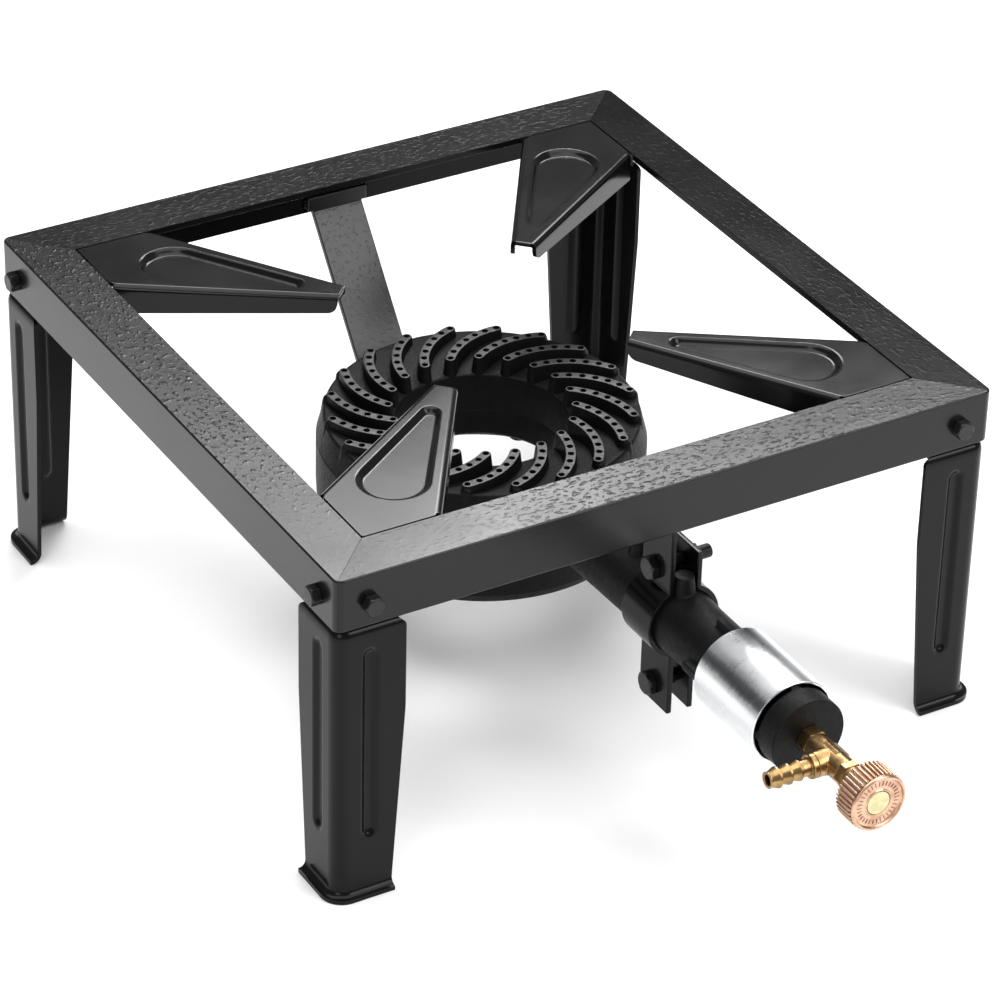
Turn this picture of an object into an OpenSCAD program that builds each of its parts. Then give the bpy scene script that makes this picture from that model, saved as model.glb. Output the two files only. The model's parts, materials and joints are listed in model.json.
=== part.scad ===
// Outdoor gas burner: a cast ring burner hung in a square steel stand, with an air sleeve and a brass valve.
// Millimetres, +Z up. The valve faces -Y and the origin is under the middle of the whole object.

/* [Stand] */
// Outer side of the square stand
stand_side = 320; // [300:1:360]
// Height of the rail tops above the ground
stand_height = 160; // [150:1:200]
// Width of a rail's top flange
rail_width = 25; // [23:0.5:30]
// Height of a rail's outer flange
rail_drop = 25; // [23:0.5:30]
// Thickness of the angle steel
rail_wall = 3; // [2.5:0.1:4]
// Radius of the stand's upright corners
corner_round = 4; // [3:0.5:6]

/* [Legs] */
// Thickness of the leg sheet
leg_sheet = 2; // [1.5:0.1:2.5]
// Width of a leg's face at the top
leg_width = 32.5; // [30:0.5:40]
// Width of a leg's face at the foot
leg_foot_width = 26.5; // [22:0.5:30]
// Height below which a leg narrows
leg_taper_height = 90; // [60:1:110]
// Reach of the foot lip outside the leg's face
leg_lip = 3.5; // [2:0.1:5]
// Height of the tongue behind the rail
leg_tongue = 20; // [18:0.5:22]
// Width of the pressed groove
groove_width = 8; // [6:0.5:10]
// Depth of the pressed groove
groove_depth = 2; // [1:0.1:2.5]
// Lower end of the groove above the ground
groove_low = 29; // [15:1:50]
// Gap between the groove's upper end and the rail
groove_gap = 11; // [9:1:20]

/* [Leg bolts] */
// Thread diameter of the leg bolts
leg_bolt_d = 5; // [4:0.5:6]
// Width across the flats of the leg bolt heads and nuts
leg_bolt_flats = 8; // [7:0.5:10]
// Height of the leg bolt heads
leg_bolt_head = 4.6; // [3:0.1:6]
// Thickness of the leg nuts
leg_nut_thick = 4; // [3:0.5:5]
// Distance of the leg bolts from the stand's corner
leg_bolt_inset = 16; // [14:0.5:20]
// Distance of the leg bolts below the rail tops
leg_bolt_low = 14; // [12:0.5:15]
// Gap round a bolt in its hole
bolt_play = 0.25; // [0.15:0.05:0.4]
// Gap round a thread in its nut or tapped hole, on the radius
thread_play = 0.05; // [0.03:0.01:0.1]

/* [Pot supports] */
// Length of a support's base along each rail
support_base = 37.5; // [32:0.5:45]
// Distance of the support tips from the stand's middle
support_tip_reach = 66; // [60:1:80]
// Width of a support's tip
support_tip = 12; // [10:0.5:16]
// Thickness of the support sheet
support_sheet = 2; // [1.5:0.1:2.5]
// Depth of a support's edge flange at its base
support_flange_base = 14; // [10:0.5:18]
// Depth of a support's edge flange at its tip
support_flange_tip = 8.5; // [7:0.5:10]
// Depth of the sunken panel
panel_depth = 1.6; // [1:0.1:1.8]
// Radius of the sunken panel's wide end
panel_wide = 15.5; // [12:0.5:17]
// Radius of the sunken panel's narrow end
panel_narrow = 4.5; // [3:0.5:5]
// Distance of the panel's wide end from the stand's corner
panel_start = 31.5; // [28:0.5:33]
// Distance of the panel's narrow end from the support's tip
panel_stop = 18; // [15:0.5:25]

/* [Burner ring] */
// Sideways offset of the burner line from the stand's middle
burner_x = 9; // [5:0.5:11]
// Distance of the burner's middle behind the stand's middle
burner_y = 16; // [12:0.5:18]
// Distance of the ridge tops below the rail tops
burner_low = 58; // [54:1:62]
// Height of the burner ring
burner_height = 60; // [57:0.5:63]
// Largest radius of the burner ring
ring_r = 75; // [74.5:0.5:77]
// Radius of the middle hole at the top
hole_r = 39.5; // [38.5:0.1:40]
// Radius of the middle hole at the bottom
hole_low_r = 35.5; // [34.5:0.1:36.5]
// Thickness of the cast walls
cast_wall = 5; // [4.5:0.1:5.5]
// Number of ridges
ridge_count = 20; // [16:1:21]
// Width of a ridge
ridge_width = 4.8; // [4.4:0.1:5.4]
// Height of a ridge at the middle hole
ridge_height = 8; // [7:0.5:9]
// Height of a ridge at the rim
ridge_rim_height = 3.5; // [2.5:0.5:5]
// Depth of the middle hole below the ridge tops
hole_depth = 39; // [37:0.5:41]
// Turn of the ridges about the middle, in degrees
ridge_phase = 8.3; // [0:0.1:17]
// Distance of the first port from the middle
port_in_r = 42.5; // [42.3:0.1:44]
// Distance of the last port from the ring's outside
port_rim_gap = 6.5; // [6:0.1:8]
// Turn of a ridge from its first to its last port, in degrees
ridge_sweep = 25.5; // [20:0.5:28]
// Radius of a ridge's curve
ridge_curve = 38.5; // [36:0.5:50]
// Number of ports on a ridge
port_count = 7; // [5:1:8]
// Diameter of a port
port_d = 2.4; // [1.8:0.1:2.6]
// Thread diameter of the ring screws
ring_screw_d = 4; // [3:0.5:4.5]

/* [Mixing tube] */
// Distance of the tube's axis below the ridge tops
tube_low = 15.5; // [15:0.5:18]
// Distance of the end disc's face in front of the stand
tube_overhang = 93; // [90:1:100]
// Outer radius of the tube at the air sleeve
tube_r = 14.5; // [14:0.1:14.9]
// Outer radius of the tube at the burner ring
tube_root_r = 16.8; // [16.7:0.1:17.3]
// Radius of the tube's bore
tube_bore_r = 11.5; // [10.5:0.1:12]
// Radius of the seat that the clamp holds
clamp_seat_r = 15; // [14.6:0.1:15.5]
// Radius of the two cast bosses
boss_r = 4.5; // [4:0.1:4.8]
// Height of the bosses above the tube's axis
boss_height = 23; // [20:0.5:25]
// Thickness of the end disc
disc_thick = 11; // [9:0.5:12]
// Radius of the end disc
disc_r = 17.6; // [17:0.1:17.8]
// Length of the air windows
window_length = 23; // [18:0.5:26]
// Thickness of the ribs between the windows
window_rib = 4; // [3:0.5:6]

/* [Air sleeve] */
// Inner radius of the air sleeve
sleeve_bore_r = 18.3; // [18.2:0.1:19]
// Wall of the air sleeve
sleeve_wall = 1.2; // [1:0.1:1.6]
// Length of the air sleeve
sleeve_length = 45; // [42:0.5:46]
// Distance of the end disc's face in front of the shut sleeve
disc_proud = 12; // [8:0.5:14]
// Travel of the air sleeve from shut to open
sleeve_travel = 24; // [15:0.5:26]
// Running gap between sleeve and ribs, on the radius
sleeve_play = 0.06; // [0.04:0.01:0.09]

/* [Clamp] */
// Width of the clamp strips along the tube
clamp_width = 22.5; // [22:0.5:27]
// Thickness of the clamp strips
clamp_sheet = 2.5; // [2:0.1:3]
// Gap between the upper tabs
clamp_gap_top = 11; // [10.5:0.1:13]
// Gap between the lower ears
clamp_gap_low = 8; // [7:0.1:9]
// Height of the upper bolt above the tube's axis
clamp_bolt_up = 22.5; // [22:0.5:24]
// Depth of the lower bolt below the tube's axis
clamp_bolt_down = 37; // [35:0.5:39]
// Depth of the ears' ends below the tube's axis
clamp_ear = 46; // [45:0.5:49]
// Height of the loose half's top above the tube's axis
clamp_loose_top = 33; // [31:0.5:36]
// Thread diameter of the clamp bolts
clamp_bolt_d = 6; // [5:0.5:6]
// Width across the flats of the clamp bolt heads and nuts
clamp_bolt_flats = 10; // [9:0.5:11]
// Gap between a clamp half and its seat
clamp_fit = 0.05; // [0.03:0.01:0.1]

/* [Strap] */
// Width of the strap
strap_width = 26; // [22:0.5:32]
// Width of the strap's upper tab
strap_tab_width = 31; // [30:0.5:40]
// Height of the strap's upper tab
strap_tab_height = 8; // [7:0.5:16]
// Thickness of the strap
strap_sheet = 3; // [2.5:0.1:3.5]
// Length of the strap's foot on the burner's lug
strap_foot = 19; // [17:0.5:22]
// Distance of the strap's foot below the ridge tops
strap_low = 26; // [24:0.5:28]
// Thickness of the burner's lug
lug_thick = 9; // [8:0.5:12]

/* [Gas valve] */
// Thread diameter of the gas jet
jet_d = 8; // [7:0.5:9]
// Width across the flats of the jet's lock nut
jet_nut_flats = 11; // [10.5:0.5:13]
// Thickness of the jet's lock nut
jet_nut_thick = 6; // [5:0.5:7]
// Diameter of the valve's barrel
valve_d = 11.5; // [11:0.5:13]
// Length of the valve's barrel
valve_length = 22; // [21.5:0.5:26]
// Distance of the hose tail's axis from the end disc's face
tail_from_disc = 17; // [16.5:0.5:18]
// Reach of the hose tail from the valve's axis
tail_reach = 31; // [29:0.5:40]
// Diameter over the hose tail's ridges
tail_ridge_d = 9.2; // [8.8:0.1:9.6]
// Diameter of the hose tail's core
tail_core_d = 7.4; // [7:0.1:8]
// Bore of the hose tail
tail_bore_d = 4.6; // [3.5:0.1:5]
// Length of one ridge of the hose tail
tail_ridge = 5; // [4.5:0.1:5.5]
// Diameter of the spindle
spindle_d = 6; // [5:0.5:7]
// Length of the gland nut
gland_length = 6; // [5:0.5:8]
// Running gap round the spindle, on the radius
spindle_play = 0.05; // [0.03:0.01:0.09]

/* [Knob] */
// Diameter of the knob
knob_d = 27; // [25:0.5:32]
// Length of the knob
knob_length = 15; // [13:0.5:18]
// Gap between the gland nut and the shut knob
knob_gap = 3; // [1.5:0.5:5]
// Number of flutes
knob_flutes = 40; // [30:1:44]
// Diameter of the cap in the knob's face
knob_cap_d = 11; // [10:0.5:13]

/* [Hidden] */
$fn = 48;
eps = 0.01;

// Stand
half = stand_side / 2;
rail_low = stand_height - rail_drop;
opening = half - rail_width;
flange_in = half - rail_wall;
leg_bolt_z = stand_height - leg_bolt_low;

// Burner line
port_out_r = ring_r - port_rim_gap;
ridge_top = stand_height - burner_low;
ring_low = ridge_top - burner_height;
floor_in = ridge_top - ridge_height;
floor_out = ridge_top - ridge_rim_height;
head_under = floor_in - cast_wall * 1.2;
rim_joint = head_under - 2;
hole_low = ridge_top - hole_depth;
skirt_joint = (floor_in + hole_low) / 2 - 2.5;
hole_taper = 1.5;
rim_slope = 4;
bowl_top = (rim_joint + ring_low) / 2;
skirt_r = port_in_r - port_d / 4;
tube_z = ridge_top - tube_low;
disc_y = -half - tube_overhang;
tube_end_y = disc_y + disc_thick + window_length;
sleeve_y = disc_y + disc_proud;
rib_start_y = sleeve_y + sleeve_length + sleeve_travel / 2;
rib_r = sleeve_bore_r - sleeve_play;
root_y = burner_y - ring_r;
neck_gap = 0.4;

// Clamp
clamp_y = -flange_in;
clamp_mid_y = clamp_y + clamp_width * 0.6;
clamp_in_r = clamp_seat_r + clamp_fit;
clamp_out_r = clamp_in_r + clamp_sheet;
clamp_top = leg_bolt_z + 6 - tube_z;
boss_front_y = clamp_y + boss_r / 3;
boss_rear_y = clamp_y + clamp_width + boss_r + 9;

// Strap
strap_z = ridge_top - strap_low;
strap_bolt_y = burner_y + ring_r + strap_foot / 2 + 1;
lug_end_y = burner_y + ring_r + strap_foot + 2;

// Ring screws
screw_count = 3;
screw_r = (port_in_r + port_out_r) / 2;
screw_turn = ridge_phase + 33;
screw_head_d = ring_screw_d * 1.75;
screw_head = 3;
screw_sink = 4;
screw_low = ring_low + 11;
screw_top = head_under + 4;

// Valve, measured from the end disc's face towards the front
valve_start = jet_nut_thick;
valve_stop = valve_start + valve_length;
gland_stop = valve_stop + gland_length;
knob_start = gland_stop + knob_gap;
knob_stop = knob_start + knob_length;
spindle_r = spindle_d / 2;
packing_d = spindle_d + 2.6;
packing_length = 4;
valve_hex = valve_d - 0.4;
jet_bore_d = tail_bore_d - 1;
jet_seat = 5;
needle_seat = tail_from_disc - tail_bore_d / 2 - 1;
needle_length = 4;
needle_tip_r = 0.6;
needle_slope = (spindle_r - needle_tip_r) / needle_length;
needle_start = needle_seat - (jet_bore_d / 2 - spindle_play - needle_tip_r) / needle_slope;
knob_sink = 1.2;
cap_seat = 1.5;
cap_start = knob_stop - knob_sink - cap_seat;

// The whole object's middle lies this far behind the stand's middle
front_reach = -disc_y + knob_stop;
back_reach = half + leg_bolt_head;
shift_y = (front_reach - back_reach) / 2;

// Colours of the finishes
enamel = "#1a1a1c";
iron = "#232425";
steel_black = "#2a2b2d";
zinc = "#b9bcc0";
brass = "#c79b52";
copper = "#cf9a78";

// Edges of a bent strip: every point moved sideways, mitred at the bends
function unit(v) = v / norm(v);
function left_of(v) = [-v[1], v[0]];
function strip_edge(path, off) = [
  for (i = [0 : len(path) - 1])
    let (
      before = i > 0 ? unit(path[i] - path[i - 1]) : unit(path[1] - path[0]),
      after = i < len(path) - 1 ? unit(path[i + 1] - path[i]) : before,
      side = unit(left_of(before) + left_of(after))
    )
    path[i] + side * off / (side * left_of(before))
];
function strip(path, wall) = let (a = strip_edge(path, wall / 2), b = strip_edge(path, -wall / 2))
  concat(a, [for (i = [len(b) - 1 : -1 : 0]) b[i]]);

// Moves a piece from the stand's middle to the shared frame
module placed() { translate([0, shift_y, 0]) children(); }

// Repeats a piece at one of the stand's corners: 0 front left, then anticlockwise seen from above
module at_corner(turn) { rotate([0, 0, 90 * turn]) children(); }

// A cylinder that points to the front, starting at y
module frontward(x, y, z, length, r, r_end = -1) {
  translate([x, y, z]) rotate([90, 0, 0]) cylinder(h = length, r1 = r, r2 = r_end < 0 ? r : r_end);
}

// A hexagon whose flats lie the given width apart
module hex(flats, thick) { cylinder(h = thick, d = flats / cos(30), $fn = 6); }

// A hexagon head with its outer corners turned off
module hex_head(flats, thick) {
  intersection() {
    hex(flats, thick);
    union() {
      cylinder(h = thick * 0.75, d = flats * 1.2);
      translate([0, 0, thick * 0.75 - eps])
        cylinder(h = thick * 0.25 + eps, d1 = flats * 1.2, d2 = flats * 0.94);
    }
  }
}

// A hexagon nut
module hex_nut(flats, thick, bore) {
  difference() {
    hex(flats, thick);
    translate([0, 0, -1]) cylinder(h = thick + 2, d = bore);
  }
}

// A box with rounded upright corners
module rounded_box(side, round, low, high) {
  translate([0, 0, low]) {
    translate([-side / 2 + round, -side / 2, 0]) cube([side - 2 * round, side, high - low]);
    translate([-side / 2, -side / 2 + round, 0]) cube([side, side - 2 * round, high - low]);
    for (x = [-1, 1], y = [-1, 1])
      translate([x * (side / 2 - round), y * (side / 2 - round), 0]) cylinder(h = high - low, r = round);
  }
}

// Places of the leg bolts in the front rail: children point out of the front face
module at_leg_bolts_front() {
  for (x = [-1, 1])
    translate([x * (half - leg_bolt_inset), -half, leg_bolt_z]) rotate([90, 0, 0]) children();
}

// One mitred rail, drawn as the front one
module rail() {
  difference() {
    intersection() {
      rounded_box(stand_side, corner_round, rail_low, stand_height);
      translate([0, 0, rail_low - 1]) linear_extrude(rail_drop + 2)
        polygon([[0, 0], [-stand_side, -stand_side], [stand_side, -stand_side]]);
    }
    translate([-flange_in, -flange_in, rail_low - 1])
      cube([2 * flange_in, 2 * flange_in, rail_drop - rail_wall + 1]);
    translate([-opening, -opening, rail_low]) cube([2 * opening, 2 * opening, rail_drop + 1]);
    at_leg_bolts_front() translate([0, 0, -rail_wall - 1])
      cylinder(h = rail_wall + 2, r = leg_bolt_d / 2 + bolt_play);
  }
}

module rail_front() { color(enamel) placed() rail(); }
module rail_right() { color(enamel) placed() at_corner(1) rail(); }
module rail_back() { color(enamel) placed() at_corner(2) rail(); }
module rail_left() { color(enamel) placed() at_corner(3) rail(); }

// Drop outline shared by the sunken panel and its underside: a wide and a narrow arc
module drop_shape(wide, narrow, reach) {
  side = 90 - asin((wide - narrow) / reach);
  wide_steps = 20;
  narrow_steps = 10;
  polygon(concat(
    [for (i = [0 : wide_steps]) let (a = side + (360 - 2 * side) * i / wide_steps) wide * [cos(a), sin(a)]],
    [for (i = [0 : narrow_steps]) let (a = -side + 2 * side * i / narrow_steps)
      [reach, 0] + narrow * [cos(a), sin(a)]]
  ));
}

// One pot support: +x runs from the stand's corner to the middle
module pot_support() {
  base = support_base / sqrt(2);
  tip_x = opening * sqrt(2) - support_tip_reach;
  lean = atan2(support_tip / 2 - base, tip_x - base);
  run = norm([tip_x - base, base - support_tip / 2]);
  panel_x = panel_start + panel_wide;
  panel_run = tip_x - panel_stop - panel_narrow - panel_x;
  low = stand_height - support_sheet;
  skin = support_sheet - 0.4;
  difference() {
    union() {
      translate([0, 0, low]) linear_extrude(support_sheet) polygon([
        [0, 0], [base, -base], [tip_x, -support_tip / 2], [tip_x, support_tip / 2], [base, base]
      ]);
      translate([panel_x, 0, low - panel_depth]) linear_extrude(panel_depth + support_sheet / 2)
        drop_shape(panel_wide + skin, panel_narrow + skin, panel_run);
      for (side = [0, 1]) mirror([0, side, 0])
        translate([base, base, stand_height]) rotate([0, 0, lean]) rotate([90, 0, 0])
          linear_extrude(support_sheet) polygon([
            [0, 0], [run, 0], [run, -support_flange_tip], [0, -support_flange_base]
          ]);
    }
    translate([panel_x, 0, stand_height - panel_depth]) linear_extrude(panel_depth + 1)
      drop_shape(panel_wide, panel_narrow, panel_run);
  }
}

module corner_support(turn) {
  color(enamel) placed() at_corner(turn)
    translate([-opening, -opening, 0]) rotate([0, 0, 45]) pot_support();
}
module pot_support_front_left() { corner_support(0); }
module pot_support_front_right() { corner_support(1); }
module pot_support_back_right() { corner_support(2); }
module pot_support_back_left() { corner_support(3); }

// Section of a leg's sheet: depth behind the stand's face, height
leg_mid = leg_sheet / 2;
leg_step = 2.5;
leg_gap = 0.6;
leg_notch = max(leg_sheet + rail_wall - corner_round, 0) + 0.2;
leg_foot_path = [[-leg_lip, leg_mid], [-leg_mid, leg_mid], [leg_mid, leg_sheet + leg_mid]];
leg_corner_path = concat(leg_foot_path, [[leg_mid, rail_low - leg_gap]]);
leg_path = concat(leg_foot_path, [
  [leg_mid, rail_low - leg_step - leg_gap],
  [leg_mid + rail_wall, rail_low - leg_gap], [leg_mid + rail_wall, rail_low + leg_tongue]
]);

// A round-ended groove cutter, with its axis in front of the sheet
module groove(grow) {
  r = (groove_width * groove_width / 4 + groove_depth * groove_depth) / (2 * groove_depth);
  top = rail_low - groove_gap;
  translate([leg_bolt_inset, groove_depth - r, 0]) {
    translate([0, 0, groove_low + groove_width / 2])
      cylinder(h = top - groove_low - groove_width, r = r + grow);
    for (z = [groove_low + groove_width / 2, top - groove_width / 2])
      translate([0, 0, z]) sphere(r = r + grow);
  }
}

// One face of a leg: along +x, with its outer side at y = 0
module leg_face() {
  difference() {
    intersection() {
      union() {
        translate([corner_round, 0, 0]) rotate([90, 0, 90]) linear_extrude(leg_width)
          polygon(strip(leg_path, leg_sheet));
        intersection() {
          groove(leg_sheet);
          translate([0, leg_sheet - eps, 0]) cube([leg_width, leg_sheet * 2 + groove_depth, rail_low]);
        }
      }
      translate([0, leg_width, 0]) rotate([90, 0, 0]) linear_extrude(2 * leg_width) polygon([
        [corner_round, -1], [leg_foot_width, -1], [leg_foot_width, 0], [leg_width, leg_taper_height],
        [leg_width, rail_low - leg_step], [leg_width - rail_wall, rail_low],
        [leg_width - rail_wall, stand_height], [corner_round + leg_notch, stand_height],
        [corner_round + leg_notch, rail_low - leg_step - leg_gap],
        [corner_round, rail_low - leg_step - leg_gap - leg_notch]
      ]);
    }
    groove(0);
    translate([leg_bolt_inset, leg_sheet * 2 + rail_wall, leg_bolt_z]) rotate([90, 0, 0])
      cylinder(h = leg_sheet * 3, r = leg_bolt_d / 2 + bolt_play);
  }
}

// One leg: its outer corner stands at the origin
module leg() {
  leg_face();
  mirror([1, -1, 0]) leg_face();
  translate([corner_round, corner_round, 0]) rotate([0, 0, 180]) rotate_extrude(angle = 90) polygon([
    for (p = strip(leg_corner_path, leg_sheet)) [corner_round - p[0], p[1]]
  ]);
}

module corner_leg(turn) { color(enamel) placed() at_corner(turn) translate([-half, -half, 0]) leg(); }
module leg_front_left() { corner_leg(0); }
module leg_front_right() { corner_leg(1); }
module leg_back_right() { corner_leg(2); }
module leg_back_left() { corner_leg(3); }

module leg_bolts() {
  grip = rail_wall + leg_sheet + leg_nut_thick + 2;
  color(steel_black) placed() for (turn = [0 : 3]) at_corner(turn) at_leg_bolts_front() {
    hex_head(leg_bolt_flats, leg_bolt_head);
    translate([0, 0, -grip]) cylinder(h = grip + eps, d = leg_bolt_d);
  }
}

module leg_nuts() {
  color(steel_black) placed() for (turn = [0 : 3]) at_corner(turn) at_leg_bolts_front()
    translate([0, 0, -rail_wall - leg_sheet - leg_nut_thick])
      hex_nut(leg_bolt_flats, leg_nut_thick, leg_bolt_d + 2 * thread_play);
}

// The burner's upright axis
module on_burner() { placed() translate([burner_x, burner_y, 0]) children(); }

// Middle of a ridge's curve, from the places of its first and last port
port_in = [port_in_r, 0];
port_out = port_out_r * [cos(ridge_sweep), -sin(ridge_sweep)];
ridge_chord = port_out - port_in;
ridge_mid = (port_in + port_out) / 2
  - left_of(unit(ridge_chord)) * sqrt(ridge_curve * ridge_curve - ridge_chord * ridge_chord / 4);
ridge_from = atan2(port_out[1] - ridge_mid[1], port_out[0] - ridge_mid[0]);
ridge_step = 0.2;
ridge_to = atan2(port_in[1] - ridge_mid[1], port_in[0] - ridge_mid[0]);

// A point on the ridge's curve
function on_ridge(turn) = ridge_mid + ridge_curve * [cos(turn), sin(turn)];

// One curved ridge with round ends
module ridge(low) {
  translate([ridge_mid[0], ridge_mid[1], low]) rotate([0, 0, ridge_from])
    rotate_extrude(angle = ridge_to - ridge_from)
      translate([ridge_curve - ridge_width / 2, 0]) square([ridge_width, ridge_top - low]);
  for (end = [[port_out, ridge_from - 90], [port_in, ridge_to + 90]])
    translate([end[0][0], end[0][1], low]) rotate([0, 0, end[1]])
      cylinder(h = ridge_top - low, d = ridge_width - ridge_step);
}

// The ports of one ridge
module ports(low) {
  for (i = [0 : port_count - 1]) {
    p = on_ridge(ridge_from + (ridge_to - ridge_from) * i / (port_count - 1));
    translate([p[0], p[1], low]) cylinder(h = ridge_top - low + 1, d = port_d);
  }
}

module at_ring_screws(z) {
  for (i = [0 : screw_count - 1])
    rotate([0, 0, screw_turn + 360 * i / screw_count]) translate([screw_r, 0, z]) children();
}

// Repeats a piece for every ridge
module at_ridges() {
  for (i = [0 : ridge_count - 1]) rotate([0, 0, ridge_phase + 360 * i / ridge_count]) children();
}

module burner_head() {
  color(iron) on_burner() difference() {
    union() {
      rotate_extrude() polygon([
        [hole_r, floor_in], [ring_r - rim_slope, floor_out],
        [ring_r - rim_slope + 1, floor_out - 1], [ring_r, rim_joint],
        [ring_r - cast_wall, rim_joint], [ring_r - cast_wall - 1, head_under],
        [skirt_r, head_under], [hole_r + cast_wall - hole_taper, skirt_joint],
        [hole_r - hole_taper, skirt_joint]
      ]);
      at_ridges() ridge(floor_in - 2);
    }
    at_ridges() ports(head_under - 1.5);
    at_ring_screws(head_under - 1)
      cylinder(h = screw_top + 1.5 - head_under, r = ring_screw_d / 2 + thread_play);
  }
}

// The rings, tube, ribs and lug before their bores are cut
module burner_body_mass() {
  translate([burner_x, burner_y, 0]) {
    rotate_extrude() polygon([
      [ring_r, rim_joint], [ring_r, bowl_top], [ring_r - 1, ring_low + cast_wall],
      [ring_r - rim_slope, ring_low], [hole_low_r + 2, hole_low],
      [hole_low_r, hole_low + 2], [hole_r - hole_taper, skirt_joint],
      [hole_r + cast_wall - hole_taper, skirt_joint], [hole_low_r + cast_wall, hole_low + cast_wall],
      [ring_r - rim_slope - cast_wall, ring_low + cast_wall * 1.6], [ring_r - cast_wall, bowl_top],
      [ring_r - cast_wall, rim_joint]
    ]);
    at_ring_screws(screw_low) cylinder(h = head_under - screw_low, r = ring_screw_d);
  }
  // Tube: a tapered root, the clamp's seat and the straight run under the sleeve
  difference() {
    union() {
      frontward(
        burner_x, root_y + 8, tube_z, root_y + 8 - clamp_y - clamp_width - 3, tube_root_r, clamp_seat_r
      );
      frontward(burner_x, clamp_y + clamp_width + 3, tube_z, clamp_width + 6, clamp_seat_r);
      frontward(burner_x, clamp_y - 3, tube_z, 8, clamp_seat_r, tube_r);
      frontward(burner_x, clamp_y - 11, tube_z, clamp_y - 11 - tube_end_y, tube_r);
      frontward(burner_x, disc_y + disc_thick, tube_z, disc_thick, disc_r);
      for (y = [boss_front_y, boss_rear_y])
        translate([burner_x, y, tube_z]) cylinder(h = boss_height, r1 = boss_r * 1.5, r2 = boss_r - 0.2);
      intersection() {
        frontward(burner_x, rib_start_y, tube_z, rib_start_y - disc_y - disc_thick + eps, rib_r);
        for (turn = [0, 90]) translate([burner_x, rib_start_y, tube_z]) rotate([90, turn, 0])
          translate([-rib_r - 1, -window_rib / 2, 0])
            cube([2 * rib_r + 2, window_rib, rib_start_y - disc_y]);
      }
      translate([burner_x - strap_width / 2, burner_y + ring_r - 7, strap_z - lug_thick])
        cube([strap_width, lug_end_y - burner_y - ring_r + 7, lug_thick]);
    }
    translate([burner_x, burner_y, ring_low])
      cylinder(h = rim_joint - ring_low + eps, r = ring_r - cast_wall);
    translate([burner_x, burner_y, rim_joint]) cylinder(h = burner_height, r = ring_r + neck_gap);
  }
}

module burner_body() {
  bore_end = root_y - cast_wall;
  color(iron) placed() difference() {
    burner_body_mass();
    frontward(burner_x, bore_end, tube_z, bore_end - disc_y - disc_thick, tube_bore_r);
    intersection() {
      frontward(burner_x, root_y + cast_wall + 4, tube_z, cast_wall * 2 + 6, tube_bore_r);
      translate([burner_x - ring_r, root_y - 4 * cast_wall, ring_low])
        cube([2 * ring_r, 8 * cast_wall, rim_joint - 2 - ring_low]);
    }
    frontward(burner_x, disc_y + disc_thick + 1, tube_z, disc_thick + 2, jet_d / 2 + thread_play);
    translate([burner_x, burner_y, 0]) at_ring_screws(ring_low) {
      cylinder(h = burner_height, r = ring_screw_d / 2 + bolt_play);
      cylinder(h = screw_low + screw_sink - ring_low, r = screw_head_d / 2 + bolt_play);
    }
    translate([burner_x, strap_bolt_y, strap_z - lug_thick - 1])
      cylinder(h = lug_thick + 2, r = clamp_bolt_d / 2 + bolt_play);
  }
}

module ring_screws() {
  color(zinc) on_burner() at_ring_screws(screw_low + screw_sink) {
    translate([0, 0, -screw_head]) cylinder(h = screw_head, d = screw_head_d);
    translate([0, 0, -screw_head / 2])
      cylinder(h = screw_top - screw_low - screw_sink + screw_head / 2, d = ring_screw_d);
  }
}

module burner_strap() {
  tab_mid = flange_in - strap_sheet / 2;
  foot_z = strap_z + strap_sheet / 2;
  bend_z = rail_low + 1;
  path = [
    [tab_mid, bend_z + strap_tab_height], [tab_mid, bend_z],
    [burner_y + ring_r + strap_foot, foot_z], [burner_y + ring_r + 1, foot_z]
  ];
  color(enamel) placed() difference() {
    union() {
      translate([burner_x - strap_width / 2, 0, 0]) rotate([90, 0, 90]) linear_extrude(strap_width)
        polygon(strip(path, strap_sheet));
      translate([burner_x - strap_tab_width / 2, flange_in - strap_sheet, bend_z + 1])
        cube([strap_tab_width, strap_sheet, strap_tab_height - 1]);
    }
    translate([burner_x, strap_bolt_y, strap_z - 1])
      cylinder(h = strap_sheet + 2, r = clamp_bolt_d / 2 + bolt_play);
  }
}

module strap_bolt() {
  grip = strap_sheet + lug_thick + clamp_bolt_d;
  color(steel_black) placed() translate([burner_x, strap_bolt_y, strap_z + strap_sheet]) {
    hex_head(clamp_bolt_flats, clamp_bolt_d * 0.65);
    translate([0, 0, -grip]) cylinder(h = grip + eps, d = clamp_bolt_d);
  }
}

module strap_nut() {
  color(steel_black) placed() translate([burner_x, strap_bolt_y, strap_z - lug_thick - clamp_bolt_d * 0.8])
    hex_nut(clamp_bolt_flats, clamp_bolt_d * 0.8, clamp_bolt_d + 2 * thread_play);
}

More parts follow.
